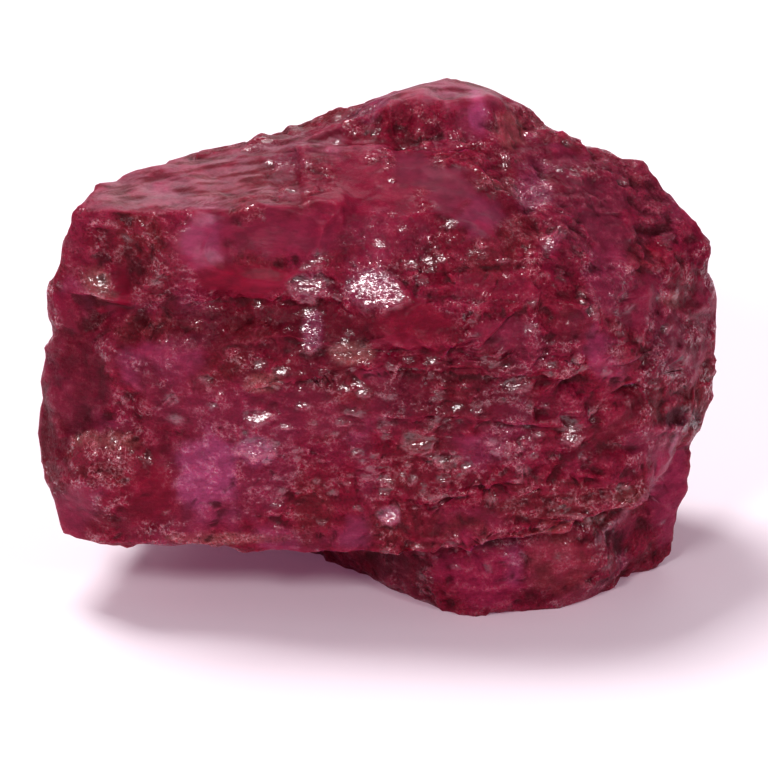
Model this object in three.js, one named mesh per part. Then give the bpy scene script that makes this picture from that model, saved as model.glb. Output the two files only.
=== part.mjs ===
// A rough lump of massive garnet, one natural piece, resting on its broken underside.
// Units are millimetres and +Z is up. The origin is the middle of the footprint, on the surface
// the stone rests on.
import * as THREE from "three";
import { ConvexHull } from "three/addons/math/ConvexHull.js";
import { mergeVertices } from "three/addons/utils/BufferGeometryUtils.js";

const { clamp, degToRad, lerp, smoothstep } = THREE.MathUtils;

// Driving dimensions.
const VIEW_TILT = degToRad(22); // how far the front view looks down on the stone
const FOOT_FRONT = -14; // where the foot meets the ground in front, along Y
const CORE = new THREE.Vector3(1, -3, 21); // every point of the surface is in sight of this point
const REACH = 48; // further from the core than any of the surface
const FACE_ROWS = 22; // rows of triangles along an edge of the icosahedron that is wrapped round the stone
const SEAM_FILLET = 1.2; // width of the fillet where two blocks of the stone grow together
const LUMP_FILLET = 1.5; // and where a lump grows out of a face
const STAY = 0.12; // how strongly a corner of the mesh keeps its place while ridges are sharpened
const LONGEST_STEP = 0.6; // the furthest a corner moves in one round of sharpening
const SHARPEN_ROUNDS = 3;
const LEAST_AWAY = 0.08; // how far each face has to look away from the core
const LEAST_OUTWARD = 0.1; // how far a turned face has to look along the surface's outward direction
const SHARPEST_FOLD = -0.2; // the sharpest fold that two turned faces may make
const BASE_SNAP = 0.06; // corners this near the ground lie on it
const GARNET_RED = 0x7d1233;

// A repeatable scramble of a lattice point, from 0 to 4294967295.
function scramble(ix, iy, iz) {
  let h = Math.imul(ix, 374761393) ^ Math.imul(iy, 668265263) ^ Math.imul(iz, 2147483647);
  h = Math.imul(h ^ (h >>> 13), 1274126177);
  return (h ^ (h >>> 16)) >>> 0;
}

// The slope of a lattice point's noise in one of 16 directions, as far as the point (x, y, z) from it.
function slopeAt(ix, iy, iz, x, y, z) {
  const h = scramble(ix, iy, iz) & 15;
  const u = h < 8 ? x : y;
  const v = h < 4 ? y : h === 12 || h === 14 ? x : z;
  return (h & 1 ? -u : u) + (h & 2 ? -v : v);
}

const fade = (t) => t * t * t * (t * (6 * t - 15) + 10);

// Gradient noise, from about -1 to 1.
function noise(x, y, z) {
  const ix = Math.floor(x);
  const iy = Math.floor(y);
  const iz = Math.floor(z);
  const fx = x - ix;
  const fy = y - iy;
  const fz = z - iz;
  const u = fade(fx);
  const v = fade(fy);
  const corner = (i, j, k) => slopeAt(ix + i, iy + j, iz + k, fx - i, fy - j, fz - k);
  const row = (j, k) => lerp(corner(0, j, k), corner(1, j, k), u);
  const layer = (k) => lerp(row(0, k), row(1, k), v);
  return lerp(layer(0), layer(1), fade(fz));
}

// A point of the stone as the front view shows it: across to the right, up the view from the
// lowest point of the foot, and its depth along Y away from the viewer.
function seen(across, rise, depth) {
  const height = (rise - (depth - FOOT_FRONT) * Math.sin(VIEW_TILT)) / Math.cos(VIEW_TILT);
  return new THREE.Vector3(across, depth, height);
}

// How far up the front view a point of the stone is seen.
const riseOf = (p) => p.z * Math.cos(VIEW_TILT) + (p.y - FOOT_FRONT) * Math.sin(VIEW_TILT);

// A point of the hidden back and underside, in the stone's own frame.
const hidden = (x, y, z) => new THREE.Vector3(x, y, z);

// The blocks the stone broke into, each the convex hull of its corners.
const BLOCKS = {
  body: [
    seen(-26, 35.2, -9.5),
    seen(-28.6, 31, -8),
    seen(-29.6, 27.5, -7),
    seen(-9, 35.8, -12.8),
    seen(-4, 40.5, -3),
    seen(9, 40.6, -3.5),
    seen(14.5, 33.5, -12.5),
    seen(-28.6, 20, -10),
    seen(-26.5, 8, -12),
    seen(-20, 26, -13.2),
    seen(-3, 28, -15.4),
    seen(-10, 8, -16),
    seen(8, 8, -16.5),
    seen(18, 10, -14),
    seen(24, 20, -9),
    seen(27.5, 27, -1),
    seen(21, 39, 1),
    seen(11, 44.2, 3),
    seen(-5, 43.2, 2),
    seen(-20, 38.5, -1),
    hidden(-22, 7, 30),
    hidden(-26, 4, 12),
    hidden(-15, 13, 6),
    hidden(-12, 13, 31),
    hidden(2, 17, 32),
    hidden(6, 18, 12),
    hidden(22, 12, 30),
    hidden(23, 13, 10),
    hidden(0, 12, 1),
  ],
  leftSlab: [
    seen(-27.7, 35.7, -11),
    seen(-18.4, 36, -13),
    seen(-3.5, 36.8, -13.5),
    seen(-25.3, 38.4, -5),
    seen(-16.6, 41, 0),
    seen(-8.5, 43.7, 7),
    seen(-7, 41.5, -2),
    seen(-29, 31, -9),
    seen(-29.4, 29.8, -9),
    seen(-24.7, 28.3, -12.8),
    seen(-17.5, 28.7, -14.4),
    seen(-19, 31.4, -15.1),
    seen(-8, 31.8, -16.6),
    seen(-4.9, 28.3, -15.6),
    hidden(-23, 4, 30),
    hidden(-21, 6, 24),
    hidden(-9, 13.5, 28),
    hidden(-6, 0, 25),
  ],
  frontWall: [
    seen(-30.4, 24.2, -8),
    seen(-31, 16.6, -8),
    seen(-29.8, 11.2, -9),
    seen(-28.6, 6.8, -12),
    seen(-21, 6.5, -16),
    seen(-3.5, 5.7, -17),
    seen(8, 6.4, -17.4),
    seen(17, 8.6, -15.6),
    seen(-29.2, 25, -10),
    seen(-21, 23.5, -15),
    seen(-12, 16, -17.8),
    seen(-13.9, 23.9, -16.4),
    seen(-2.2, 23.6, -17.6),
    seen(7, 23, -18.2),
    seen(17, 22, -16.4),
    seen(-20, 28, -13),
    seen(0, 29, -15.6),
    hidden(-25, 4, 22),
    hidden(-23, 6, 5),
    hidden(0, 0, 8),
    hidden(18, 0, 20),
  ],
  shoulder: [
    seen(-7.6, 41.6, -3),
    seen(1.2, 41.8, -3.6),
    seen(5, 37.7, -10.2),
    seen(9.6, 33.7, -14.4),
    seen(8.2, 41.6, -4),
    seen(12.2, 35.5, -10),
    seen(-6.5, 36.8, -12.6),
    seen(-4.9, 31, -15.8),
    seen(0, 25, -18),
    seen(9, 25, -18.2),
    seen(8.6, 29, -17.2),
    seen(14, 30.7, -14.8),
    hidden(-8, 8, 34),
    hidden(14, 8, 34),
    hidden(0, -4, 20),
  ],
  crown: [
    seen(-7.6, 42, -1),
    seen(1.4, 46.2, 1),
    seen(9.2, 46, 1),
    seen(-8.5, 43.6, 7),
    seen(-4.9, 45.2, 7),
    seen(1.4, 47.2, 8),
    seen(5.9, 48, 7),
    seen(9.6, 47.3, 6),
    seen(12.5, 46.2, 5),
    seen(15, 43, 4),
    seen(9, 41.5, -3),
    seen(13, 39, -4),
    hidden(0, 14.5, 37),
    hidden(10, 13.5, 38),
    hidden(-8, 13.5, 30),
    hidden(3, 17, 26),
    hidden(16, 13.5, 28),
    hidden(0, 0, 30),
  ],
  rightMass: [
    seen(14.8, 43.1, 3),
    seen(19.4, 41.5, 3),
    seen(23, 40.2, 3),
    seen(26.3, 37, 2),
    seen(28.8, 34.1, 1),
    seen(29.6, 29.2, 1),
    seen(29.8, 25.6, 0),
    seen(29.6, 21, 0),
    seen(27.9, 16.1, -1),
    seen(15.8, 39, -3.5),
    seen(14, 33, -13),
    seen(12.6, 29.4, -16.2),
    seen(13, 24, -17.2),
    seen(18, 27, -15.2),
    seen(19.5, 21.5, -14.9),
    seen(24, 21, -11.5),
    seen(19.5, 10, -14.6),
    seen(23, 11, -12),
    seen(10, 7.2, -17),
    hidden(24, 12, 30),
    hidden(27, 11, 16),
    hidden(12, 15, 34),
    hidden(14, 16, 10),
    hidden(0, 0, 20),
  ],
  foot: [
    seen(6.2, 0.5, -14),
    seen(8.6, 0, -14),
    seen(15.8, 0.6, -12.5),
    seen(19.8, 2.3, -9),
    seen(23.4, 5, -2),
    seen(25.7, 6.4, -2),
    seen(27.5, 11.2, -2),
    seen(27.7, 16.1, -1),
    seen(0.3, 3.7, -5),
    seen(3.5, 8, -14.2),
    seen(14, 8, -14.2),
    hidden(22.5, -1.5, -3),
    hidden(22, 9, -3),
    hidden(8, 14.5, -3),
    hidden(-14, 11.5, -3),
    hidden(6.5, -12.6, -3),
    hidden(14.5, -12, -3),
    hidden(18.5, -8.6, -3),
    hidden(24, 12, 10),
    hidden(0, 14, 16),
    hidden(-22, 8, 12),
    hidden(6, 0, 20),
  ],
};

// The sheets the stone grew in end in ledges that run across the front and on round the back.
// Each ledge is a line of [across, rise] points with a lip above it that stands out by depth,
// and a groove below it.
const LEDGES = [
  { line: [[-15, 24.2], [-2, 23.7], [5, 23.9], [14, 23.2], [29, 22.8]], depth: 0.9 },
  { line: [[-13, 20.1], [-8, 20.8], [1.4, 21.8], [10, 21.4], [19.4, 21.1], [28, 19.7]], depth: 0.8 },
  { line: [[-3, 17.6], [5, 17.1], [14, 17.1], [18.2, 16.8], [27, 16.4]], depth: 0.7 },
  { line: [[1, 10], [4.4, 10.1], [11.2, 11.7], [17.2, 12.2], [24, 11.7]], depth: 0.8 },
  { line: [[0, 6.1], [6, 6.6], [12, 7.4], [16.2, 8.4], [20.3, 9.2], [24, 10.6]], depth: 1.2 },
  { line: [[8, 31.2], [15, 31.4], [22, 31], [29, 30]], depth: 0.6 },
  { line: [[11, 27.2], [20, 27.6], [29, 27]], depth: 0.6 },
  { line: [[12, 36.4], [20, 36], [27, 34.6]], depth: 0.5 },
];
const LIP_HEIGHT = 2.4;
const GROOVE_HEIGHT = 1.2;
const LEDGE_FADE = 2.5; // how far to each side of its end a ledge fades out
const LIP_SHARE = 0.6; // of the ledge's depth that the lip stands out
const GROOVE_SHARE = 0.4; // of the ledge's depth that the groove goes in

// Waviness of all faces: [length of a wave, how far it moves the surface].
const BROAD_WAVES = [9, 0.6];
const FINE_WAVES = [3.5, 0.3];
const LEDGE_WAVES = [5, 0.5];
const RELIEF_LIMIT = 2; // ledges, lumps and waves together move the surface less than this

// The right side is made of rounded grains, and the front of the crown of upright columns.
// Each pair is where they begin and where they are at their full height.
const GRAINS_ACROSS = [8, 20];
const GRAINS_RISE = [9, 18];
const GRAIN_SIZE = 3.8;
const GRAIN_HEIGHT = 0.9;
const GRAIN_SINK = 0.55;
const COLUMNS_RISE = [41, 43];
const COLUMNS_FORWARD = [-5, -2];
const COLUMN_WAVES = [1.9, 5, 9]; // their width, depth and height
const COLUMN_RELIEF = 0.5;

// Shells broken out of the faces: a ball cuts a shallow hollow with a sharp rim.
const SHELLS = [
  { middle: seen(-13, 34, -14.4), out: [0.1, -1, 0.3], radius: 16, depth: 0.5 },
  { middle: seen(4.5, 31, -15.4), out: [0.1, -0.8, 0.6], radius: 12, depth: 0.5 },
  { middle: seen(4, 26.4, -18), out: [0.1, -1, 0.1], radius: 7, depth: 0.8 },
  { middle: seen(-24, 32.5, -12.4), out: [-0.3, -1, 0], radius: 8, depth: 0.5 },
  { middle: hidden(-15, 11, 22), out: [-0.6, 0.8, 0.1], radius: 34, depth: 1 },
  { middle: hidden(12, 16.5, 24), out: [0.2, 1, 0.3], radius: 26, depth: 1 },
  { middle: hidden(-29, -1, 18), out: [-1, 0.2, 0], radius: 24, depth: 0.7 },
];

// Lumps that stand proud of the faces.
const LUMPS = [
  { middle: seen(-27.8, 27.6, -8.5), radius: 2 },
  { middle: seen(-27.6, 20.5, -8.6), radius: 2.4 },
  { middle: seen(-23.5, 13.6, -10.6), radius: 5 },
  { middle: seen(-1.8, 28.8, -13), radius: 4.2 },
  { middle: seen(8.5, 5, -9.6), radius: 5.6 },
  { middle: seen(15, 6, -8), radius: 5.6 },
  { middle: seen(22, 38.6, 3), radius: 1.4 },
  { middle: seen(26.4, 33.6, 1), radius: 1.8 },
  { middle: seen(16.6, 41, 3), radius: 1.3 },
  { middle: seen(11.2, 25.8, -13), radius: 3.9 },
];

// The outward planes of a convex block.
function planesOf(corners) {
  const hull = new ConvexHull().setFromPoints(corners);
  return hull.faces.map((face) => ({ normal: face.normal.clone(), offset: face.constant }));
}

const blocks = Object.values(BLOCKS).map(planesOf);

const shells = SHELLS.map(({ middle, out, radius, depth }) => {
  const outward = new THREE.Vector3(...out).normalize();
  return { centre: middle.clone().addScaledVector(outward, radius - depth), radius };
});

function smoothMin(a, b, width) {
  const overlap = Math.max(width - Math.abs(a - b), 0) / width;
  return Math.min(a, b) - (overlap * overlap * width) / 4;
}

// The height of a ledge's line at a place across the view, and how strongly the ledge shows there.
function ledgeAt({ line }, across) {
  const last = line.length - 1;
  const i = clamp(line.findIndex(([x]) => x > across) - 1, 0, last - 1);
  const from = line[across > line[last][0] ? last - 1 : i];
  const to = line[across > line[last][0] ? last : i + 1];
  const share = clamp((across - from[0]) / (to[0] - from[0]), 0, 1);
  const [start, end] = [line[0][0], line[last][0]];
  const fadeIn = smoothstep(across, start - LEDGE_FADE, start + LEDGE_FADE);
  const fadeOut = 1 - smoothstep(across, end - LEDGE_FADE, end + LEDGE_FADE);
  return { rise: lerp(from[1], to[1], share), strength: fadeIn * fadeOut };
}

// How far the ledges push the surface out at a point.
function ledgeRelief(p) {
  const [length, size] = LEDGE_WAVES;
  const rise = riseOf(p) + size * noise(p.x / length, p.y / length, p.z / length);
  let relief = 0;
  for (const ledge of LEDGES) {
    const { rise: line, strength } = ledgeAt(ledge, p.x);
    const above = rise - line;
    if (strength === 0 || above > LIP_HEIGHT || above < -GROOVE_HEIGHT) continue;
    const lip = LIP_SHARE * (1 - above / LIP_HEIGHT) ** 2;
    const groove = -GROOVE_SHARE * (1 + above / GROOVE_HEIGHT);
    relief += ledge.depth * strength * (above > 0 ? lip : groove);
  }
  return relief;
}

// Rounded grains on a jittered grid, 0 between them and 1 at their tops.
function grains(p, size) {
  const x = p.x / size;
  const y = p.y / size;
  const z = (1.4 * p.z) / size;
  const jitter = (ix, iy, iz) => 0.15 + (0.7 * (scramble(ix, iy, iz) & 1023)) / 1023;
  let nearest = 1;
  for (let i = Math.floor(x) - 1; i <= Math.floor(x) + 1; i++)
    for (let j = Math.floor(y) - 1; j <= Math.floor(y) + 1; j++)
      for (let k = Math.floor(z) - 1; k <= Math.floor(z) + 1; k++) {
        const gapX = i + jitter(i, j, k) - x;
        const gapY = j + jitter(j, k, i) - y;
        const gapZ = k + jitter(k, i, j) - z;
        nearest = Math.min(nearest, gapX * gapX + gapY * gapY + gapZ * gapZ);
      }
  return 1 - nearest;
}

// How far a point is outside the stone, negative inside.
function distanceOutside(p) {
  const wave = ([length, size], seed) => size * noise(p.x / length + seed, p.y / length, p.z / length);
  const warp = (seed) => wave(BROAD_WAVES, seed) + wave(FINE_WAVES, seed + 20);
  const q = new THREE.Vector3(p.x + warp(0.5), p.y + warp(40.5), p.z + warp(80.5));
  let outside = Infinity;
  for (const planes of blocks) {
    let block = -Infinity;
    for (const { normal, offset } of planes) block = Math.max(block, normal.dot(q) - offset);
    outside = smoothMin(outside, block, SEAM_FILLET);
  }
  if (outside > 2 * RELIEF_LIMIT) return outside - RELIEF_LIMIT;
  for (const { middle, radius } of LUMPS) {
    outside = smoothMin(outside, q.distanceTo(middle) - radius, LUMP_FILLET);
  }
  for (const { centre, radius } of shells) outside = Math.max(outside, radius - q.distanceTo(centre));
  const rise = riseOf(p);
  let relief = ledgeRelief(p);
  const grainy = smoothstep(p.x, ...GRAINS_ACROSS) * smoothstep(rise, ...GRAINS_RISE);
  if (grainy > 0) relief += grainy * (GRAIN_HEIGHT * grains(p, GRAIN_SIZE) - GRAIN_SINK);
  const columns = smoothstep(rise, ...COLUMNS_RISE) * smoothstep(-p.y, ...COLUMNS_FORWARD);
  const [width, depth, height] = COLUMN_WAVES;
  if (columns > 0) relief += COLUMN_RELIEF * columns * noise(p.x / width, p.y / depth, p.z / height);
  return Math.max(outside - relief, -p.z);
}

// The outward direction of the surface near a point.
function outwardAt(p) {
  const e = 0.05;
  const slope = (dx, dy, dz) => distanceOutside(new THREE.Vector3(p.x + dx, p.y + dy, p.z + dz));
  const x = slope(e, 0, 0) - slope(-e, 0, 0);
  const y = slope(0, e, 0) - slope(0, -e, 0);
  const z = slope(0, 0, e) - slope(0, 0, -e);
  return new THREE.Vector3(x, y, z).normalize();
}

// The surface along a direction from the core, found from outside inwards.
function surfaceAlong(direction) {
  const at = (r) => CORE.clone().addScaledVector(direction, r);
  let outer = REACH;
  let inner = outer;
  for (let gap = 1; gap > 0; gap = distanceOutside(at(inner))) {
    outer = inner;
    inner -= Math.max(0.3, 0.6 * gap);
  }
  for (let i = 0; i < 12; i++) {
    const middle = (inner + outer) / 2;
    if (distanceOutside(at(middle)) > 0) outer = middle;
    else inner = middle;
  }
  return at(inner);
}

// A ball of triangles shrunk on to the stone.
function wrap() {
  const ball = new THREE.IcosahedronGeometry(1, FACE_ROWS - 1);
  ball.deleteAttribute("normal");
  ball.deleteAttribute("uv");
  const merged = mergeVertices(ball, 1e-4);
  const position = merged.getAttribute("position");
  const points = [];
  for (let i = 0; i < position.count; i++) {
    points.push(surfaceAlong(new THREE.Vector3().fromBufferAttribute(position, i).normalize()));
  }
  const index = merged.getIndex().array;
  const faces = [];
  for (let i = 0; i < index.length; i += 3) faces.push([index[i], index[i + 1], index[i + 2]]);
  return { points, faces };
}

function middleOf(...points) {
  const sum = new THREE.Vector3();
  for (const p of points) sum.add(p);
  return sum.divideScalar(points.length);
}

// How far a face looks away from the core: 1 squarely, 0 edge-on, and less than 0 if it is folded over.
function awayFromCore(points, [a, b, c]) {
  const side = points[b].clone().sub(points[a]);
  const normal = side.cross(points[c].clone().sub(points[a])).normalize();
  return normal.dot(middleOf(points[a], points[b], points[c]).sub(CORE).normalize());
}

// Turns the edges that cut across a ridge so that they run along it.
function turnEdges({ points, faces }) {
  const key = (a, b) => a * points.length + b;
  const owner = new Map();
  faces.forEach((face, f) => face.forEach((a, i) => owner.set(key(a, face[(i + 1) % 3]), f)));
  const misfit = (a, b) => Math.abs(distanceOutside(middleOf(points[a], points[b])));
  const side = (a, b) => points[b].clone().sub(points[a]);
  const facing = (a, b, c) => side(a, b).cross(side(a, c)).normalize();
  for (let f = 0; f < faces.length; f++) {
    for (let i = 0; i < 3; i++) {
      const [a, b, c] = [faces[f][i], faces[f][(i + 1) % 3], faces[f][(i + 2) % 3]];
      const g = owner.get(key(b, a));
      const d = faces[g].find((v) => v !== a && v !== b);
      if (owner.has(key(c, d)) || owner.has(key(d, c))) continue;
      if (misfit(c, d) > 0.8 * misfit(a, b) - 0.004) continue;
      const [n1, n2] = [facing(a, d, c), facing(d, b, c)];
      const outward = outwardAt(middleOf(points[a], points[b], points[c], points[d]));
      if (Math.min(n1.dot(outward), n2.dot(outward)) < LEAST_OUTWARD) continue;
      if (n1.dot(n2) < SHARPEST_FOLD) continue;
      if ([[a, d, c], [d, b, c]].some((turned) => awayFromCore(points, turned) < LEAST_AWAY)) continue;
      owner.delete(key(a, b));
      owner.delete(key(b, a));
      faces[f] = [a, d, c];
      faces[g] = [d, b, c];
      for (const h of [f, g]) faces[h].forEach((v, j) => owner.set(key(v, faces[h][(j + 1) % 3]), h));
      break;
    }
  }
}

// Puts the corners of faces that have folded over back where they were.
function unfold(points, faces, before) {
  let moved = true;
  while (moved) {
    moved = false;
    for (const face of faces) {
      if (awayFromCore(points, face) > LEAST_AWAY) continue;
      for (const v of face) {
        if (points[v].equals(before[v])) continue;
        points[v].copy(before[v]);
        moved = true;
      }
    }
  }
}

// Moves each corner to where the planes of the faces round it meet, so that ridges and ledges stay sharp.
function sharpen({ points, faces }) {
  const sums = points.map((p) => ({
    a: new THREE.Matrix3().set(STAY, 0, 0, 0, STAY, 0, 0, 0, STAY),
    b: p.clone().multiplyScalar(STAY),
  }));
  for (const face of faces) {
    const foot = middleOf(...face.map((v) => points[v]));
    for (let i = 0; i < 2; i++) foot.addScaledVector(outwardAt(foot), -distanceOutside(foot));
    const n = outwardAt(foot);
    for (const v of face) {
      const { a, b } = sums[v];
      const e = a.elements;
      [n.x, n.y, n.z].forEach((ni, i) => [n.x, n.y, n.z].forEach((nj, j) => (e[3 * i + j] += ni * nj)));
      b.addScaledVector(n, n.dot(foot));
    }
  }
  const before = points.map((p) => p.clone());
  points.forEach((p, v) => {
    const target = sums[v].b.applyMatrix3(sums[v].a.invert());
    p.add(target.sub(p).clampLength(0, LONGEST_STEP));
  });
  unfold(points, faces, before);
}

const mesh = wrap();
for (let round = 0; round < SHARPEN_ROUNDS; round++) {
  turnEdges(mesh);
  sharpen(mesh);
}
turnEdges(mesh);

for (const p of mesh.points) if (p.z < BASE_SNAP) p.z = 0;

const coordinates = mesh.points.flatMap((p) => p.toArray());
const geometry = new THREE.BufferGeometry();
geometry.setAttribute("position", new THREE.Float32BufferAttribute(coordinates, 3));
geometry.setIndex(mesh.faces.flat());

// The footprint's middle comes to the origin.
geometry.computeBoundingBox();
const { min, max } = geometry.boundingBox;

const material = new THREE.MeshStandardMaterial({ color: GARNET_RED, roughness: 0.35, metalness: 0 });
const stone = new THREE.Mesh(geometry, material);
stone.name = "garnet";
stone.position.set(-(min.x + max.x) / 2, -(min.y + max.y) / 2, 0);

const model = new THREE.Group();
model.add(stone);

export default model;
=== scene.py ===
"""A rough lump of massive garnet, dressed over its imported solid, on a pale floor."""

import bpy
import numpy as np
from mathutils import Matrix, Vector, noise


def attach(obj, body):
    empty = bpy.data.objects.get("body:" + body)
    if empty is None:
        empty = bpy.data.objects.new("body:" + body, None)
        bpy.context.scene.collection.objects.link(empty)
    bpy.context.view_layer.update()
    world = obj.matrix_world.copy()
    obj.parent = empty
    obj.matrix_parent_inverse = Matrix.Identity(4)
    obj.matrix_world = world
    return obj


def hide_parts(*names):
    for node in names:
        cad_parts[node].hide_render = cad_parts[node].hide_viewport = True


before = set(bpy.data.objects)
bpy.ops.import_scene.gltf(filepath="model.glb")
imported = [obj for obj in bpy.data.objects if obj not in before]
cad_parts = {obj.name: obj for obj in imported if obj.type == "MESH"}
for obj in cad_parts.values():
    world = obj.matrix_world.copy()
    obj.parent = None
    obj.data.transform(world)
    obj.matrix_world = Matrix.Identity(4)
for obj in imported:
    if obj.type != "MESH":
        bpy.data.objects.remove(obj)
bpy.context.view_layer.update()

MM = 0.001

# The photograph's view: it looks along +Y and this far down.
VIEW_TILT = np.radians(22)
PIXEL = 0.09  # millimetres of the stone to a pixel of the photograph
PHOTO_SIZE = 768
FOOT_ROW = 614  # the photograph's row where the foot meets the ground in front
FOOT_FRONT = -14.0  # the place of that point along Y
CENTRING = (0.59, 0.36)  # the stone's own frame is this far right of and behind the photograph's middle
CAMERA_DISTANCE = 1000.0
CAMERA_AIM_DEPTH = -2.0  # along Y, where the camera aims
TO_CAMERA = np.array((0.0, -np.cos(VIEW_TILT), np.sin(VIEW_TILT)))

# Relief that is too fine for the solid.
SPLITS = 2  # how often each of the solid's triangles becomes four
SMOOTHING_ROUNDS = 2
WIDE_ROUNDS = 6  # smoothing rounds that leave only the forms of a few millimetres
FACET_SIZES = ((3.2, 0.14), (1.5, 0.2))  # (width, steepness) of the small crystal faces
TILT_SPREAD = 7.31  # spreads the places that the faces draw their tilts from
STRATA_LENGTH = 6.0
STRATA_HEIGHT = 0.8
STRATA_DEPTH = 0.3
STRATA_START = (-6.0, 4.0)  # the layers fade in from the first to the second place across
BUMP_SIZE = 0.8  # the finest bumps, where the stone is grainy
BUMP_HEIGHT = 0.05
WAVE_SIZE = 3.5  # the soft waves, where it is smooth
WAVE_HEIGHT = 0.08
LIP_REACH = 1.0  # how far above a ledge's line its lip bulges
GROOVE_REACH = 0.8  # how far below the line its groove goes on
LIP_HEIGHT = 0.14
GROOVE_DEPTH = 0.26
LEDGE_FADE = (-1.5, 2.0)  # a ledge fades in over these distances inside its line's ends
LEDGE_WANDER = 0.25  # how far noise bends its line
CHIP_TURN = np.radians(26)  # the most a glassy break's face turns to mirror a light
CHIP_REACH = 1.0  # the most it is moved
CHIP_DEPTHS = (1.5, 2.5)  # from the first to the second distance off its plane, the moving fades out
CHIP_STRETCH = (1.2, 1.0, 0.8)
SMALL_CHIPS = 900
SMALL_CHIP_SEED = 5
SMALL_CHIP_SIZES = (0.2, 0.68)
SMALL_CHIP_TURNS = np.radians((5, 32))
CHIP_FLATNESS = 0.8  # the share of the fine relief that a glassy break lacks
CAVITY_GAIN = 2.5  # how quickly a point counts as an edge or a hollow, per millimetre

# Where the two front lights are, which the glassy breaks mirror.
KEY_LIGHT = (-290, -800, 560)
FILL_LIGHT = (600, -700, 480)

# The stone's colours, as light reflected in red, green and blue.
CRIMSON = (0.22, 0.002, 0.026)
DEEP = (0.125, 0.0008, 0.013)
MAGENTA = (0.23, 0.005, 0.038)
PURPLE = (0.24, 0.016, 0.056)
DUSK = (0.18, 0.015, 0.046)
LILAC = (0.36, 0.055, 0.15)
PALE = (0.46, 0.2, 0.27)
PINK = (0.3, 0.01, 0.062)
RUST = (0.19, 0.01, 0.02)
TAN = (0.36, 0.1, 0.1)
BLACK = (0.04, 0.005, 0.014)

# The material's finer colours.
# The dark colour of the hollows is painted shade.
HOLLOW_SHADE = (0.06, 0.0005, 0.005, 1)
EDGE = (0.4, 0.03, 0.09, 1)
GRIME = (0.07, 0.002, 0.007, 1)
# The specks are partly pale flecks of the stone and partly painted glints.
RED_SPECK = (0.5, 0.13, 0.09, 1)
PALE_SPECK_AND_GLINT = (0.95, 0.55, 0.6, 1)
# Painted glints: the colour of thin pale lines.
GLINT_LINE = (0.9, 0.42, 0.48, 1)

# The material's sizes, in millimetres, and its layers' stretch along each axis.
LAYERS = (1.0, 1.0, 1.8)
STREAKS = (1.0, 1.0, 2.6)
CLOUD_SIZE = 1.6
GRAIN_SIZE = 0.24
FACE_SIZE = 0.9
SPECK_SIZE = 0.3
LINE_SPACING = 0.7
BREAK_SIZE = 0.9
STREAK_SIZE = 1.3
STREAK_HEIGHTS = (0.00005, 0.0001)  # in metres, all over and added on the glassy breaks

# The floor and the lights. A light's place and size are in millimetres and its power in watts.
FLOOR_HALF = 4.0  # in metres
FLOOR_COLOUR = (0.87, 0.82, 0.86, 1)
FLOOR_GLOW = (1.0, 0.4, 0.75, 1)
FLOOR_GLOW_STRENGTH = 0.12
LIGHTS = (
    ("sky", (-300, 260, 900), 360, 7.9),
    ("key", KEY_LIGHT, 150, 3.6),
    ("fill", FILL_LIGHT, 160, 2.8),
    ("behind", (100, 900, 350), 500, 1.5),
)
LIGHTS_AIM = (0, 0, 20)
ROOM_LIGHT = 0.26
EXPOSURE = -0.05
GAMMA = 0.86


class Zone:
    """A soft oval patch of the front, by its middle and half size across and up the view.

    smooth is how free of grains it is, from 0 to 1, and sparkle how brightly its grains glint.
    """

    def __init__(
        self, across, rise, half_width, half_height, colour=None, weight=1.0, smooth=None, sparkle=None
    ):
        self.middle = (across, rise)
        self.half = (half_width, half_height)
        self.colour = colour
        self.weight = weight
        self.smooth = smooth
        self.sparkle = sparkle

    def at(self, across, rise, edge_noise):
        """How strongly the zone shows at each point, from 0 to 1."""
        u = (across - self.middle[0]) / self.half[0]
        v = (rise - self.middle[1]) / self.half[1]
        reach = 1.0 - np.sqrt(u * u + v * v) + 0.3 * edge_noise
        return smoothstep(-0.15, 0.35, reach)


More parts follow.
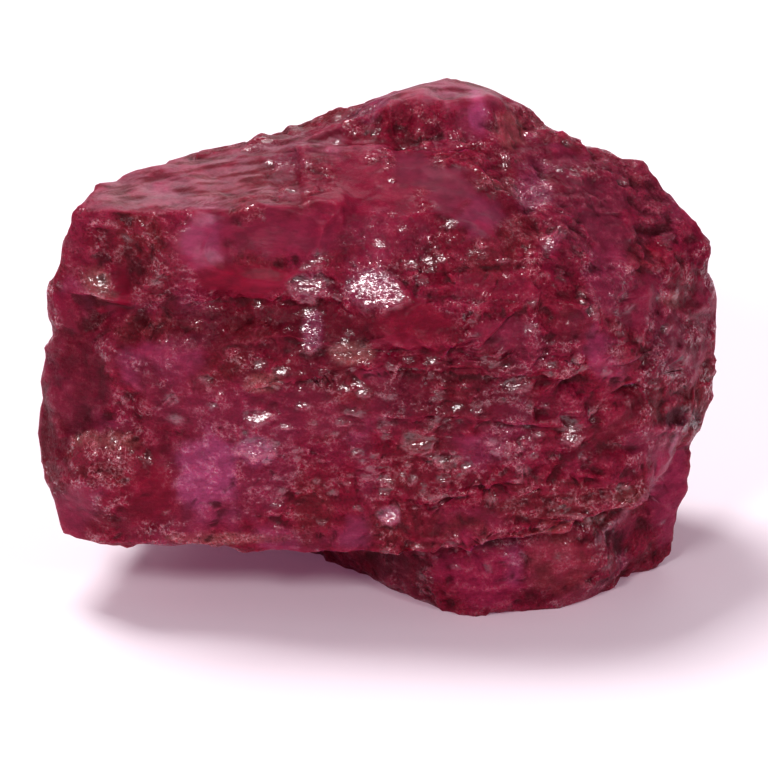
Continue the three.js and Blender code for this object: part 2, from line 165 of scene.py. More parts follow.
# From the slab on the left to the crown, the right side, the lower front and the foot.
# Later ones lie over earlier.
ZONES = [
    Zone(-20.8, 31.8, 3.6, 4.4, RUST, 0.6, smooth=0.1, sparkle=0.5),
    Zone(-20.1, 38.1, 0.9, 0.6, PINK, 1.0),
    Zone(-15.6, 33.4, 3.2, 3.2, PURPLE, 0.9, smooth=1.0, sparkle=0.0),
    Zone(-8.6, 33.9, 5.4, 2.6, PURPLE, 0.8, smooth=1.0, sparkle=0.0),
    Zone(-16.0, 33.2, 1.9, 2.6, LILAC, 0.5, smooth=1.0),
    Zone(-16.1, 35.3, 1.3, 0.6, PALE, 0.4, smooth=0.8),
    Zone(-15.5, 31.8, 1.4, 0.9, PALE, 0.35, smooth=1.0),
    Zone(-12.0, 29.9, 6.2, 1.6, CRIMSON, 1.0, smooth=1.0, sparkle=0.0),
    Zone(-23.2, 29.2, 0.9, 2.8, CRIMSON, 1.0, smooth=1.0, sparkle=0.0),
    # Partly painted highlight: this patch is painted paler where the stone glints.
    Zone(-25.3, 29.8, 1.4, 1.9, TAN, 0.7, smooth=0.2, sparkle=1.0),
    Zone(-28.4, 27.6, 1.9, 1.7, MAGENTA, 1.0, smooth=0.7),
    # Partly painted shade: the dark band under the slab's lip, in the recess beneath its overhang.
    Zone(-10.0, 25.6, 17.0, 2.3, DEEP, 0.7, smooth=0.6, sparkle=0.15),
    Zone(7.0, 19.7, 9.0, 4.2, DEEP, 0.6),
    Zone(-21.5, 25.6, 4.6, 1.5, RUST, 0.7, smooth=0.0, sparkle=0.3),
    Zone(-11.5, 25.4, 2.5, 1.2, RUST, 0.5, smooth=0.2, sparkle=0.2),
    Zone(-28.0, 19.0, 4.0, 8.5, DEEP, 0.8, smooth=0.5, sparkle=0.1),
    Zone(-0.8, 37.0, 5.8, 4.4, MAGENTA, 0.8, smooth=0.9, sparkle=0.1),
    Zone(0.0, 33.5, 3.6, 2.6, PURPLE, 0.6, smooth=0.7, sparkle=0.2),
    Zone(2.6, 40.2, 2.6, 1.9, DUSK, 0.9, smooth=1.0, sparkle=0.0),
    Zone(5.6, 38.0, 2.7, 2.4, DUSK, 0.9, smooth=1.0, sparkle=0.0),
    Zone(8.6, 35.6, 2.2, 2.0, DUSK, 0.9, smooth=1.0, sparkle=0.0),
    Zone(8.4, 35.6, 2.4, 2.0, LILAC, 0.2),
    Zone(20.5, 36.5, 8.0, 4.5, DUSK, 0.7, sparkle=0.2),
    Zone(8.0, 44.2, 1.7, 2.6, PURPLE, 1.0, smooth=0.8, sparkle=0.2),
    Zone(8.4, 45.0, 0.9, 2.0, LILAC, 1.0, smooth=0.9),
    Zone(11.3, 43.3, 1.5, 1.6, TAN, 0.35, smooth=0.6),
    # Partly painted highlight: the next two are painted paler where the stone glints.
    Zone(13.2, 38.2, 1.7, 2.4, LILAC, 0.4, smooth=0.3, sparkle=0.9),
    Zone(14.5, 33.3, 1.3, 1.2, LILAC, 0.4, smooth=0.3, sparkle=0.9),
    Zone(12.4, 33.8, 2.8, 2.0, RUST, 0.6, sparkle=0.6),
    Zone(11.8, 29.2, 2.4, 1.6, MAGENTA, 0.6, smooth=0.7, sparkle=0.2),
    Zone(8.0, 29.4, 2.2, 1.3, MAGENTA, 0.6, smooth=0.7, sparkle=0.2),
    Zone(2.6, 26.2, 3.6, 2.2, CRIMSON, 1.0, smooth=0.9, sparkle=0.1),
    Zone(28.0, 33.3, 1.6, 2.4, MAGENTA, 0.9, smooth=0.6),
    Zone(22.6, 43.6, 1.4, 1.2, MAGENTA, 0.9, smooth=0.6),
    Zone(21.8, 35.6, 1.0, 1.0, MAGENTA, 0.9, smooth=0.6),
    Zone(25.7, 28.3, 1.2, 0.8, TAN, 0.4, smooth=0.5),
    # Partly painted highlight: the next two are painted paler where the glassy breaks glint.
    Zone(-1.0, 28.9, 2.7, 2.2, LILAC, 0.35, smooth=0.7, sparkle=1.0),
    Zone(-6.2, 29.4, 2.1, 1.4, LILAC, 0.3, smooth=0.6, sparkle=1.0),
    Zone(-6.2, 25.5, 1.0, 1.7, LILAC, 0.6, smooth=0.6, sparkle=0.8),
    Zone(-2.6, 23.3, 2.1, 1.1, TAN, 0.6, smooth=0.6, sparkle=0.7),
    Zone(-11.0, 18.5, 9.0, 3.0, PURPLE, 0.6, smooth=0.6, sparkle=0.3),
    Zone(-10.7, 20.8, 1.8, 1.0, TAN, 0.6, smooth=0.0, sparkle=0.7),
    Zone(-20.6, 11.2, 3.0, 3.8, CRIMSON, 0.7, smooth=0.7, sparkle=0.1),
    Zone(-13.0, 13.4, 6.0, 5.0, PURPLE, 0.9, smooth=0.5, sparkle=0.5),
    Zone(-15.6, 12.6, 3.0, 4.0, LILAC, 0.95, smooth=0.7, sparkle=0.4),
    # Partly painted highlight: this patch is painted paler where the stone glints.
    Zone(-11.5, 14.6, 1.9, 1.5, LILAC, 0.8, smooth=0.4, sparkle=0.9),
    Zone(-24.6, 14.0, 3.7, 2.8, RUST, 0.8, smooth=0.0, sparkle=0.7),
    Zone(-24.4, 15.6, 3.2, 0.8, TAN, 0.5, smooth=0.0, sparkle=0.8),
    Zone(-27.8, 9.6, 1.8, 2.9, PURPLE, 0.9, smooth=0.8, sparkle=0.1),
    Zone(-15.0, 6.9, 5.8, 0.6, TAN, 0.6, smooth=0.0, sparkle=0.8),
    Zone(-6.4, 10.0, 2.2, 3.6, RUST, 0.6, smooth=0.1, sparkle=0.4),
    Zone(-1.6, 13.0, 1.2, 2.4, PURPLE, 0.6, smooth=0.5, sparkle=0.5),
    # Partly painted highlight: this patch is painted paler where the stone glints.
    Zone(0.5, 9.1, 1.0, 0.8, LILAC, 0.7, smooth=0.6, sparkle=0.8),
    Zone(4.0, 14.0, 4.0, 3.0, RUST, 0.4, smooth=0.1, sparkle=0.5),
    Zone(11.0, 15.4, 3.0, 2.2, PURPLE, 0.5, smooth=0.2, sparkle=0.6),
    Zone(17.0, 17.6, 2.0, 1.2, MAGENTA, 0.8, smooth=0.3, sparkle=0.6),
    Zone(16.0, 10.2, 7.0, 2.4, RUST, 0.7, smooth=0.0, sparkle=0.6),
    Zone(23.2, 15.4, 2.2, 2.1, PURPLE, 0.9, smooth=0.5, sparkle=0.3),
    Zone(26.2, 11.2, 2.4, 5.4, PINK, 1.0, smooth=0.7, sparkle=0.1),
    Zone(26.2, 11.2, 2.4, 5.4, LILAC, 0.15),
    Zone(22.3, 10.2, 1.6, 1.2, RUST, 1.0, smooth=0.5),
    Zone(26.9, 17.6, 2.0, 1.0, BLACK, 0.7, smooth=0.0),
    Zone(20.3, 6.8, 1.4, 1.2, BLACK, 0.5, smooth=0.0),
    Zone(9.0, 3.6, 4.0, 3.4, PINK, 0.9, smooth=0.5, sparkle=0.2),
    Zone(11.6, 4.6, 0.9, 2.2, LILAC, 0.5, smooth=0.6),
    Zone(15.8, 4.6, 3.4, 3.6, TAN, 0.2, smooth=0.6, sparkle=0.2),
]
# Painted sheen: the flat tops are painted paler in streaks where they face up, for the reflection of the
# bright room on them.
PAINTED_TOP_SHEEN = [
    Zone(-19.5, 39.0, 11.5, 4.0, PALE, 1.0, smooth=0.8, sparkle=0.0),
    Zone(5.5, 46.8, 9.0, 1.7, PALE, 1.0, smooth=0.8, sparkle=0.0),
    Zone(-4.0, 42.3, 6.0, 1.0, PALE, 0.7, smooth=0.7, sparkle=0.1),
]

# Glassy breaks that flash white in the light, with ragged outlines. Their weight is their gloss.
RAGGED = 2.0  # how many times as ragged as a zone's outline
GLAZED = [
    Zone(-0.7, 28.8, 2.8, 2.3),
    Zone(-6.4, 29.3, 1.9, 1.3),
    Zone(-5.6, 31.7, 0.9, 0.8),
    Zone(-6.2, 25.5, 1.0, 1.7, weight=0.6),
    Zone(-2.6, 23.4, 2.1, 1.1, weight=0.6),
    Zone(14.5, 33.2, 1.1, 1.2),
    Zone(-11.4, 14.8, 1.8, 1.4),
    Zone(-25.3, 29.9, 1.3, 1.8),
    Zone(0.5, 9.1, 1.0, 0.8),
    Zone(-10.9, 17.8, 1.4, 0.6),
    Zone(3.0, 15.4, 1.6, 1.0),
    Zone(12.0, 20.6, 1.6, 0.7),
    Zone(16.6, 16.6, 1.0, 1.2),
]

# The ledges of the front, each with its share of the full relief and its line's points as (across, rise).
LEDGES = [
    (0.8, [(-18.0, 28.0), (-11.0, 28.2), (-5.0, 28.0)]),
    (0.5, [(-15.0, 24.2), (-2.0, 23.7), (5.0, 23.9), (14.0, 23.2), (29.0, 22.8)]),
    (0.7, [(-13.0, 20.1), (-8.0, 20.8), (1.4, 21.8), (10.0, 21.4), (19.4, 21.1), (28.0, 19.7)]),
    (0.3, [(-3.0, 17.6), (5.0, 17.1), (14.0, 17.1), (18.2, 16.8), (27.0, 16.4)]),
    (0.7, [(1.0, 10.0), (4.4, 10.1), (11.2, 11.7), (17.2, 12.2), (24.0, 11.7)]),
    (1.0, [(-2.0, 6.4), (6.0, 6.6), (12.0, 7.4), (16.2, 8.4), (20.3, 9.2), (24.0, 10.6)]),
    (0.2, [(8.0, 31.2), (15.0, 31.4), (22.0, 31.0), (29.0, 30.0)]),
    (0.3, [(11.0, 27.2), (20.0, 27.6), (29.0, 27.0)]),
    (0.2, [(12.0, 36.4), (20.0, 36.0), (27.0, 34.6)]),
    (0.4, [(-9.0, 41.4), (-2.0, 41.8), (3.0, 41.7), (8.0, 41.6)]),
]

# A pale vein on the right flank.
VEIN = [(26.3, 16.8), (25.6, 13.6), (24.2, 11.4), (21.0, 8.6), (19.0, 6.6)]
VEIN_WIDTH = 0.3

# The patches of the hidden sides, as (colour, weight, smooth, seed of their noise).
HIDDEN_PATCHES = (
    (LILAC, 0.5, 0.8, 21.0),
    (PURPLE, 0.8, 0.8, 27.0),
    (RUST, 0.7, 0.0, 43.0),
    (DEEP, 0.6, 0.6, 47.0),
)
PATCH_SIZE = 7.0


def smoothstep(low, high, value):
    """A soft step from 0 to 1, as the value goes from low to high."""
    t = np.clip((value - low) / (high - low), 0.0, 1.0)
    return t * t * (3.0 - 2.0 * t)


def seen(across, rise, depth):
    """A point of the photograph's view, in millimetres of the frame."""
    height = (rise - (depth - FOOT_FRONT) * np.sin(VIEW_TILT)) / np.cos(VIEW_TILT)
    return np.array((across + CENTRING[0], depth + CENTRING[1], height))


def across_and_rise(points):
    """Where the photograph's view shows points: to the right of its middle, and up from the foot."""
    depth = points[:, 1] - CENTRING[1]
    rise = points[:, 2] * np.cos(VIEW_TILT) + (depth - FOOT_FRONT) * np.sin(VIEW_TILT)
    return points[:, 0] - CENTRING[0], rise


def noise_at(points, size, seed=0.0):
    """Smooth noise from about -1 to 1. size is one length or one for each axis, and seed shifts it."""
    scaled = points / np.array(size) + seed
    return np.array([noise.noise(Vector(p)) for p in scaled])


def triangles_of(node):
    """The corners, in millimetres, and the triangles of a node's mesh, with its doubled corners joined."""
    mesh = node.data
    corners = np.empty(len(mesh.vertices) * 3)
    mesh.vertices.foreach_get("co", corners)
    mesh.calc_loop_triangles()
    triangles = np.empty(len(mesh.loop_triangles) * 3, np.int32)
    mesh.loop_triangles.foreach_get("vertices", triangles)
    rounded = np.round(corners.reshape(-1, 3) / MM, 4)
    points, joined = np.unique(rounded, axis=0, return_inverse=True)
    triangles = joined.reshape(-1)[triangles].reshape(-1, 3)
    a, b, c = triangles.T
    whole = (a != b) & (b != c) & (c != a)
    return points, triangles[whole]


def split_each_triangle(points, triangles):
    """Each triangle becomes four, at the middles of its edges."""
    edges = np.sort(triangles[:, [0, 1, 1, 2, 2, 0]].reshape(-1, 2), axis=1)
    edges, which = np.unique(edges, axis=0, return_inverse=True)
    middles = points[edges].mean(axis=1)
    ab, bc, ca = (which.reshape(-1, 3) + len(points)).T
    a, b, c = triangles.T
    quarters = [(a, ab, ca), (ab, b, bc), (ca, bc, c), (ab, bc, ca)]
    return np.vstack((points, middles)), np.vstack([np.stack(q, axis=1) for q in quarters])


def edges_of(triangles):
    """Each edge once, as its two points."""
    edges = np.sort(triangles[:, [0, 1, 1, 2, 2, 0]].reshape(-1, 2), axis=1)
    return np.unique(edges, axis=0)


def neighbour_mean(values, edges):
    """The mean of each point's neighbours."""
    values = values.reshape(len(values), -1)
    a, b = edges.T
    count = np.bincount(a, minlength=len(values)) + np.bincount(b, minlength=len(values))
    columns = []
    for column in values.T:
        total = np.bincount(a, column[b], len(values)) + np.bincount(b, column[a], len(values))
        columns.append(total / count)
    return np.stack(columns, axis=1)


def smoothed(values, edges, rounds):
    """Values drawn towards their neighbours' mean, round by round."""
    for _ in range(rounds):
        values = 0.5 * values + 0.5 * neighbour_mean(values, edges).reshape(values.shape)
    return values


def normals_of(points, triangles):
    """The normal at each point, from the triangles round it by their area."""
    a, b, c = (points[column] for column in triangles.T)
    across = np.cross(b - a, c - a)
    normals = np.zeros_like(points)
    for column in triangles.T:
        for axis in range(3):
            normals[:, axis] += np.bincount(column, across[:, axis], len(points))
    return normals / np.linalg.norm(normals, axis=1, keepdims=True)


def facets_at(points, size):
    """The height of small flat faces, each tilted its own way, that meet in soft edges."""
    heights = np.empty(len(points))
    for i, p in enumerate(points / size):
        distances, cells = noise.voronoi(Vector(p))
        weights = [(distances[3] - d) ** 4 for d in distances[:3]]
        total = sum(weights) or 1.0
        height = 0.0
        for weight, cell in zip(weights, cells):
            tilt = noise.cell_vector(cell * TILT_SPREAD) * 2 - Vector((1, 1, 1))
            height += weight * tilt.dot(Vector(p) - cell)
        heights[i] = size * height / total
    return heights


def along(line, across):
    """The rise of a line at places across the view, and how far inside its ends they are, from 0 to 1."""
    xs, ys = zip(*line)
    inside = np.minimum(across - xs[0], xs[-1] - across)
    return np.interp(across, xs, ys), smoothstep(*LEDGE_FADE, inside)


def ledge_relief(across, rise):
    """A lip above each ledge's line, and a groove below it."""
    relief = np.zeros(len(across))
    for share, line in LEDGES:
        middle, strength = along(line, across)
        above = rise - middle
        lip = LIP_HEIGHT * np.clip(1.0 - above / LIP_REACH, 0.0, 1.0) ** 2
        groove = -GROOVE_DEPTH * np.clip(1.0 + above / GROOVE_REACH, 0.0, 1.0) ** 2
        relief += share * strength * np.where(above > 0, lip, groove)
    return relief


def distance_to_line(across, rise, line):
    """How far places of the view are from a line of points."""
    nearest = np.full(len(across), np.inf)
    here = np.stack((across, rise), axis=1)
    for start, end in zip(line, line[1:]):
        start = np.array(start)
        step = np.array(end) - start
        share = np.clip((here - start) @ step / (step @ step), 0.0, 1.0)
        nearest = np.minimum(nearest, np.linalg.norm(here - start - share[:, None] * step, axis=1))
    return nearest


def blend(values, new, weight):
    """values with new laid over them by weight, for numbers and for colours."""
    if values.ndim == 2:
        weight = weight[:, None]
    return values + (np.array(new) - values) * weight


class Surface:
    """Colour, smoothness and sparkle at each point of the stone."""

    def __init__(self, points, normals):
        self.across, self.rise = across_and_rise(points)
        self.edge_noise = 1.3 * noise_at(points, 2.6) + 0.8 * noise_at(points, 1.1, 7.0)
        clouds = smoothstep(-0.25, 0.3, noise_at(points, 4.0, 3.0) + 0.3 * self.edge_noise)
        depths = smoothstep(0.0, 0.5, noise_at(points, 2.6, 31.0) + 0.3 * self.edge_noise)
        self.colour = blend(np.tile(CRIMSON, (len(points), 1)), MAGENTA, clouds)
        self.colour = blend(self.colour, DEEP, 0.6 * depths)
        self.smooth = 0.25 * smoothstep(0.0, 0.4, noise_at(points, 5.0, 13.0))
        self.sparkle = 0.15 + 0.6 * smoothstep(-0.1, 0.4, noise_at(points, 3.0, 17.0))
        self.paint_hidden_sides(points)
        self.front = smoothstep(0.0, 0.3, normals @ TO_CAMERA)
        for zone in ZONES:
            self.lay(zone, self.front * zone.at(self.across, self.rise, self.edge_noise))
        # Painted reflection on the tops that face up: pale streaks, with darker streaks between them.
        streaks = noise_at(points, (3.5, 0.8, 2.0), 51.0) + 0.5 * noise_at(points, (1.5, 0.5, 1.0), 57.0)
        facing_up = smoothstep(0.55, 0.85, normals[:, 2])
        for zone in PAINTED_TOP_SHEEN:
            where = zone.at(self.across, self.rise, self.edge_noise) * facing_up
            self.lay(zone, where, 0.38 * smoothstep(-0.35, 0.15, streaks))
            self.colour = blend(self.colour, DEEP, 0.7 * where * smoothstep(-0.1, -0.4, streaks))
        self.chips = self.large_chips() + self.small_chips(points)
        self.glaze = np.max([where for where, _ in self.chips], axis=0)
        vein = 1.0 - smoothstep(0.4 * VEIN_WIDTH, VEIN_WIDTH, distance_to_line(self.across, self.rise, VEIN))
        self.colour = blend(self.colour, PALE, 0.6 * vein * self.front)

    def large_chips(self):
        """Each glassy break of the front: where it is, and the most that its face turns."""
        chips = []
        for zone in GLAZED:
            where = zone.at(self.across, self.rise, RAGGED * self.edge_noise)
            chips.append((zone.weight * self.front * where, CHIP_TURN))
        return chips

    def small_chips(self, points):
        """Little glassy breaks scattered over all sides, most of them where the stone is grainy."""
        random = np.random.default_rng(SMALL_CHIP_SEED)
        chance = np.clip(1.0 - self.smooth, 0.0, 1.0) * (0.1 + self.sparkle)
        chips = []
        for centre in random.choice(len(points), SMALL_CHIPS, replace=False, p=chance / chance.sum()):
            radius = random.uniform(*SMALL_CHIP_SIZES)
            away = (points - points[centre]) / (radius * np.array(CHIP_STRETCH))
            reach = 1.0 - np.linalg.norm(away, axis=1) + 0.4 * self.edge_noise
            chips.append((smoothstep(-0.1, 0.3, reach), random.uniform(*SMALL_CHIP_TURNS)))
        return chips

    def paint_hidden_sides(self, points):
        """The back and sides in the same kinds of patches as the front."""
        for colour, weight, smooth, seed in HIDDEN_PATCHES:
            patches = noise_at(points, PATCH_SIZE, seed) + 0.15 * self.edge_noise
            where = smoothstep(0.12, 0.35, patches)
            self.colour = blend(self.colour, colour, weight * where)
            self.smooth = blend(self.smooth, smooth, where)

    def lay(self, zone, where, share=1.0):
        """A zone laid over the surface. share is how much of its colour shows."""
        self.colour = blend(self.colour, zone.colour, zone.weight * where * share)
        if zone.smooth is not None:
            self.smooth = blend(self.smooth, zone.smooth, where)
        if zone.sparkle is not None:
            self.sparkle = blend(self.sparkle, zone.sparkle, where)


def unit(vector):
    """The vector's direction, one long."""
    return vector / np.linalg.norm(vector)


def mirror_direction(light):
    """The way a face looks when it mirrors a light towards the camera."""
    return unit(unit(np.array(light)) + TO_CAMERA)


def with_chips(points, normals, chips):
    """The points with each glassy break turned into a small flat face that flashes in the nearest light."""
    flashes = np.array([mirror_direction(light) for light in (KEY_LIGHT, FILL_LIGHT)])
    for where, most_turn in chips:
        middle = np.average(points, axis=0, weights=where)
        facing = unit(np.average(normals, axis=0, weights=where))
        flash = flashes[np.argmax(flashes @ facing)]
        needed = np.arccos(flash @ facing)
        facing = unit(facing + min(1.0, most_turn / needed) * (flash - facing))
        above = (points - middle) @ facing
        near = 1.0 - smoothstep(*CHIP_DEPTHS, np.abs(above))
        move = np.clip(above, -CHIP_REACH, CHIP_REACH) * where * near
        points = points - move[:, None] * facing
    return points


def build_stone(node):
    """The stone's fine mesh, with what its material reads from it as attributes."""
    points, triangles = triangles_of(node)
    for _ in range(SPLITS):
        points, triangles = split_each_triangle(points, triangles)
    edges = edges_of(triangles)
    points = smoothed(points, edges, SMOOTHING_ROUNDS)
    normals = normals_of(points, triangles)
    surface = Surface(points, smoothed(normals, edges, WIDE_ROUNDS))

    rough = 1.0 - 0.85 * surface.smooth
    relief = ledge_relief(surface.across, surface.rise + LEDGE_WANDER * surface.edge_noise)
    for size, steepness in FACET_SIZES:
        relief += steepness * rough * facets_at(points, size)
    layered = smoothstep(*STRATA_START, surface.across) * rough
    strata = (STRATA_LENGTH, STRATA_LENGTH, STRATA_HEIGHT)
    in_layers = np.stack((points[:, 0], points[:, 1], surface.rise), axis=1)
    relief += STRATA_DEPTH * layered * noise_at(in_layers, strata, 11.0)
    relief += BUMP_HEIGHT * rough * noise_at(points, BUMP_SIZE, 5.0)
    relief += WAVE_HEIGHT * surface.smooth * noise_at(points, WAVE_SIZE, 9.0)
    relief *= 1.0 - CHIP_FLATNESS * surface.glaze
    points = with_chips(points + normals * relief[:, None], normals, surface.chips)
    points[:, 2] = np.maximum(points[:, 2], 0.0)

    final_normals = normals_of(points, triangles)
    hollow = np.einsum("ij,ij->i", smoothed(points, edges, WIDE_ROUNDS) - points, final_normals)
    cavity = np.clip(0.5 + CAVITY_GAIN * hollow, 0.0, 1.0)

    mesh = bpy.data.meshes.new("garnet_stone")
    mesh.from_pydata((points * MM).tolist(), [], triangles.tolist())
    mesh.polygons.foreach_set("use_smooth", np.ones(len(triangles), bool))
    for name, values in (
        ("smooth", surface.smooth),
        ("sparkle", surface.sparkle),
        ("glaze", surface.glaze),
        ("cavity", cavity),
    ):
        attribute = mesh.attributes.new(name, "FLOAT", "POINT")
        attribute.data.foreach_set("value", values.astype(np.float32))
    tint = mesh.attributes.new("tint", "FLOAT_COLOR", "POINT")
    opaque = np.hstack((surface.colour, np.ones((len(points), 1))))
    tint.data.foreach_set("color", opaque.astype(np.float32).ravel())
    mesh.update()
    stone = bpy.data.objects.new("garnet_stone", mesh)
    bpy.context.scene.collection.objects.link(stone)
    return stone


class Nodes:
    """Short calls for a material's node tree."""

    def __init__(self, name):
        self.material = bpy.data.materials.new(name)
        self.material.use_nodes = True
        self.tree = self.material.node_tree
        self.tree.nodes.clear()

    def put(self, socket, value):
        if isinstance(value, bpy.types.NodeSocket):
            self.tree.links.new(value, socket)
        elif value is not None:
            socket.default_value = value

    def add(self, kind, inputs=None, **settings):
        node = self.tree.nodes.new("ShaderNode" + kind)
        for name, value in settings.items():
            setattr(node, name, value)
        for name, value in (inputs or {}).items():
            self.put(node.inputs[name], value)
        return node

    def math(self, operation, a, b=None):
        return self.add("Math", {0: a, 1: b}, operation=operation).outputs[0]

    def vector(self, operation, a, b, output="Vector"):
        return self.add("VectorMath", {0: a, 1: b}, operation=operation).outputs[output]

    def mix(self, share, a, b, blend="MIX"):
        node = self.add("Mix", {0: share, 6: a, 7: b}, data_type="RGBA", blend_type=blend)
        return node.outputs[2]

    def steps(self, value, low, high, out_low=0.0, out_high=1.0):
        """A soft step from out_low to out_high, as the value goes from low to high."""
        inputs = {"Value": value, "From Min": low, "From Max": high, "To Min": out_low, "To Max": out_high}
        return self.add("MapRange", inputs, interpolation_type="SMOOTHSTEP").outputs[0]

    def attribute(self, name):
        return self.add("Attribute", attribute_name=name).outputs["Fac"]

    def noise(self, where, size, detail, roughness):
        """Noise from 0 to 1, its largest waves of a size in millimetres."""
        inputs = {"Vector": where, "Scale": 1 / (size * MM), "Detail": detail, "Roughness": roughness}
        return self.add("TexNoise", inputs).outputs["Fac"]

    def cells(self, where, size):
        """Cells of a size in millimetres: their random colours, and the height of a tilted face in each."""
        scale = 1 / (size * MM)
        cells = self.add("TexVoronoi", {"Vector": where, "Scale": scale, "Randomness": 1.0})
        middle = cells.outputs["Position"]
        away = self.vector("SUBTRACT", where, middle)
        tilt = self.vector("SUBTRACT", cells.outputs["Color"], (0.5, 0.5, 0.5))
        return cells.outputs["Color"], self.vector("DOT_PRODUCT", tilt, away, "Value")


def garnet_material():
    """Red garnet that light sinks into, under grains and breaks like glass."""
    n = Nodes("garnet")
    where = n.add("TexCoord").outputs["Object"]
    tint = n.add("Attribute", attribute_name="tint").outputs["Color"]
    smooth = n.attribute("smooth")
    sparkle = n.attribute("sparkle")
    glaze = n.attribute("glaze")
    cavity = n.attribute("cavity")
    rough = n.math("SUBTRACT", 1.0, smooth)

    # Colour: the painted zones with clouds, dark specks, pale specks that are partly painted glints, thin
    # painted glint lines, painted shade in the hollows and bright thin edges.
    layers = n.vector("MULTIPLY", where, LAYERS)
    clouds = n.steps(n.noise(layers, CLOUD_SIZE, 4.0, 0.65), 0.3, 0.7, 0.78, 1.22)
    grey = n.add("CombineColor", {0: clouds, 1: clouds, 2: clouds}).outputs[0]
    colour = n.mix(1.0, tint, grey, "MULTIPLY")
    # Painted shade: the hollows are darkened, as shade falls in them.
    hollow = n.steps(cavity, 0.52, 0.85)
    colour = n.mix(n.math("MULTIPLY", hollow, 0.7), colour, HOLLOW_SHADE)
    edge = n.steps(cavity, 0.48, 0.25)
    colour = n.mix(n.math("MULTIPLY", edge, 0.28), colour, EDGE)
    grain_colour, grain_faces = n.cells(where, GRAIN_SIZE)
    random = n.add("SeparateColor", {0: grain_colour})
    clusters = n.math("MULTIPLY", sparkle, n.steps(n.noise(layers, CLOUD_SIZE, 4.0, 0.6), 0.42, 0.62))
    clusters = n.math("MULTIPLY", clusters, n.steps(cavity, 0.55, 0.3, 0.45, 1.0))
    fine = n.noise(where, SPECK_SIZE, 4.0, 0.75)
    grime = n.math("MULTIPLY", n.steps(fine, 0.5, 0.35, 0.0, 0.6), rough)
    colour = n.mix(grime, colour, GRIME)
    # Pale specks, partly the stone's own flecks and partly painted glints, with more of them on edges and
    # ridges.
    speck_colour = n.mix(random.outputs[0], RED_SPECK, PALE_SPECK_AND_GLINT)
    specks_and_glints = n.math("MULTIPLY", n.math("MULTIPLY", n.steps(fine, 0.6, 0.66), clusters), 0.9)
    colour = n.mix(specks_and_glints, colour, speck_colour)
    # Painted highlight: thin pale lines along the contours of a noise, for glints in streaks.
    off_line = n.math("ABSOLUTE", n.math("SUBTRACT", n.noise(where, LINE_SPACING, 2.0, 0.6), 0.5))
    painted_glint_lines = n.math("MULTIPLY", n.steps(off_line, 0.04, 0.015), n.math("MULTIPLY", clusters, 0.45))
    colour = n.mix(painted_glint_lines, colour, GLINT_LINE)

    # Relief: small crystal faces at two sizes, and streaks on the glassy breaks.
    _, coarse_faces = n.cells(where, FACE_SIZE)
    faces = n.math("ADD", n.math("MULTIPLY", grain_faces, 1.4), n.math("MULTIPLY", coarse_faces, 0.7))
    grainy = n.math("MAXIMUM", n.math("MULTIPLY", rough, 0.5), sparkle)
    steepness = n.math("MULTIPLY", grainy, n.math("SUBTRACT", 1.0, n.math("MULTIPLY", glaze, 0.9)))
    flow = n.noise(n.vector("MULTIPLY", where, STREAKS), STREAK_SIZE, 3.0, 0.5)
    everywhere, on_breaks = STREAK_HEIGHTS
    streak_height = n.math("ADD", n.math("MULTIPLY", glaze, on_breaks), everywhere)
    streaks = n.math("MULTIPLY", flow, streak_height)
    height = n.math("ADD", n.math("MULTIPLY", faces, steepness), streaks)
    bump = n.add("Bump", {"Height": height, "Strength": 1.0, "Distance": 1.0}).outputs[0]

    # Gloss: satin all over, under a coat of glassy grains and breaks that flash in the light.
    grains = n.math("MULTIPLY", n.steps(random.outputs[2], 0.35, 0.45), n.steps(clusters, 0.02, 0.3))
    grains = n.math("MULTIPLY", grains, n.steps(fine, 0.42, 0.54))
    breaks = n.math("MULTIPLY", glaze, n.steps(n.noise(layers, BREAK_SIZE, 4.0, 0.7), 0.4, 0.5))
    coat = n.math("MAXIMUM", grains, breaks)

    shader = n.add("BsdfPrincipled")
    n.put(shader.inputs["Base Color"], colour)
    n.put(shader.inputs["Roughness"], n.math("ADD", n.math("MULTIPLY", rough, 0.1), 0.4))
    n.put(shader.inputs["Normal"], bump)
    shader.inputs["IOR"].default_value = 1.55
    shader.inputs["Specular IOR Level"].default_value = 0.14
    n.put(shader.inputs["Coat Weight"], coat)
    n.put(shader.inputs["Coat Normal"], bump)
    shader.inputs["Coat Roughness"].default_value = 0.18
    shader.inputs["Coat IOR"].default_value = 1.9
    shader.inputs["Subsurface Weight"].default_value = 0.45
    shader.inputs["Subsurface Radius"].default_value = (1.0, 0.15, 0.3)
    shader.inputs["Subsurface Scale"].default_value = 2.0 * MM
    output = n.add("OutputMaterial")
    n.tree.links.new(shader.outputs[0], output.inputs["Surface"])
    return n.material


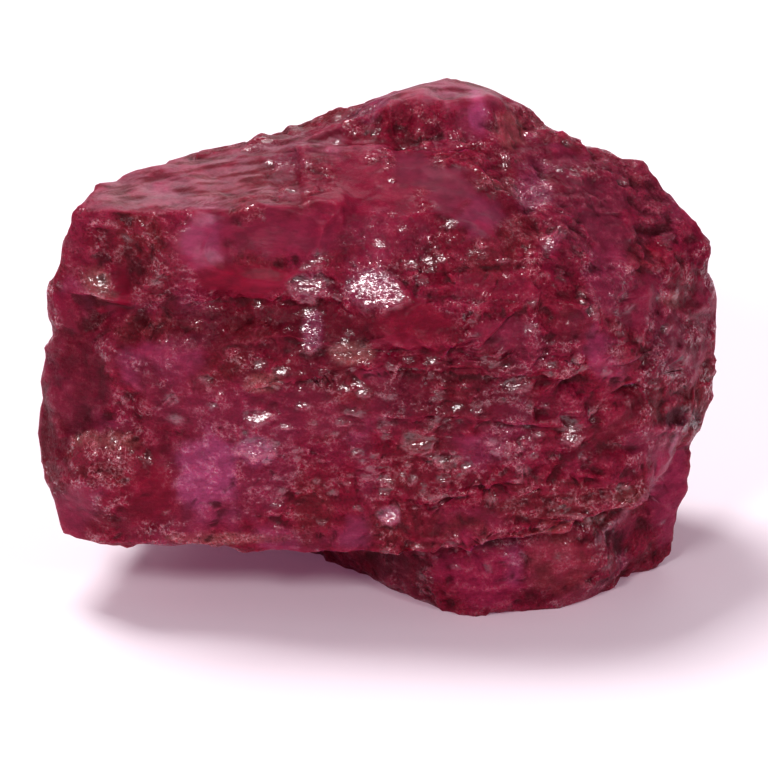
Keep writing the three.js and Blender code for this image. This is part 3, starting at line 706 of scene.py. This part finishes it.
def floor():
    """A wide plain sheet under the stone. Its faint glow is painted light, given off by the floor itself in
    place of the light that comes through the stone.
    """
    half = FLOOR_HALF
    corners = [(-half, -half, 0), (half, -half, 0), (half, half, 0), (-half, half, 0)]
    mesh = bpy.data.meshes.new("floor")
    mesh.from_pydata(corners, [], [(0, 1, 2, 3)])
    sheet = bpy.data.objects.new("floor", mesh)
    bpy.context.scene.collection.objects.link(sheet)
    n = Nodes("floor")
    shader = n.add("BsdfPrincipled", {"Base Color": FLOOR_COLOUR, "Roughness": 0.9})
    shader.inputs["Specular IOR Level"].default_value = 0.2
    shader.inputs["Emission Color"].default_value = FLOOR_GLOW
    shader.inputs["Emission Strength"].default_value = FLOOR_GLOW_STRENGTH
    output = n.add("OutputMaterial")
    n.tree.links.new(shader.outputs[0], output.inputs["Surface"])
    mesh.materials.append(n.material)
    return sheet


def aim(thing, target):
    """Turns a light or camera to a place."""
    thing.rotation_mode = "QUATERNION"
    thing.rotation_quaternion = (Vector(target) - thing.location).to_track_quat("-Z", "Y")


def softbox(name, place, size, power):
    """A square area light that faces the stone, its place and size in millimetres."""
    light = bpy.data.lights.new(name, "AREA")
    light.size = size * MM
    light.energy = power
    lamp = bpy.data.objects.new(name, light)
    lamp.location = Vector(place) * MM
    bpy.context.scene.collection.objects.link(lamp)
    aim(lamp, Vector(LIGHTS_AIM) * MM)


def light_scene():
    """Soft lights, a white room, and how the picture is developed."""
    for name, place, size, power in LIGHTS:
        softbox(name, place, size, power)
    world = bpy.data.worlds.new("room")
    world.use_nodes = True
    background = world.node_tree.nodes["Background"]
    background.inputs["Color"].default_value = (1, 1, 1, 1)
    background.inputs["Strength"].default_value = ROOM_LIGHT
    bpy.context.scene.world = world
    bpy.context.scene.view_settings.view_transform = "Standard"
    bpy.context.scene.view_settings.exposure = EXPOSURE
    bpy.context.scene.view_settings.gamma = GAMMA


def place_camera():
    """A far camera on the photograph's line of sight, framed as the photograph is."""
    middle_rise = (FOOT_ROW - PHOTO_SIZE / 2) * PIXEL
    target = Vector(seen(0.0, middle_rise, CAMERA_AIM_DEPTH)) * MM
    lens = bpy.data.cameras.new("camera")
    lens.lens = lens.sensor_width * CAMERA_DISTANCE / (PHOTO_SIZE * PIXEL)
    lens.clip_start = 0.05
    camera = bpy.data.objects.new("camera", lens)
    camera.location = target + Vector(TO_CAMERA) * CAMERA_DISTANCE * MM
    aim(camera, target)
    bpy.context.scene.collection.objects.link(camera)
    bpy.context.scene.camera = camera


stone = build_stone(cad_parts["garnet"])
stone.data.materials.append(garnet_material())
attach(stone, "root")
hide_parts("garnet")
floor()
light_scene()
place_camera()
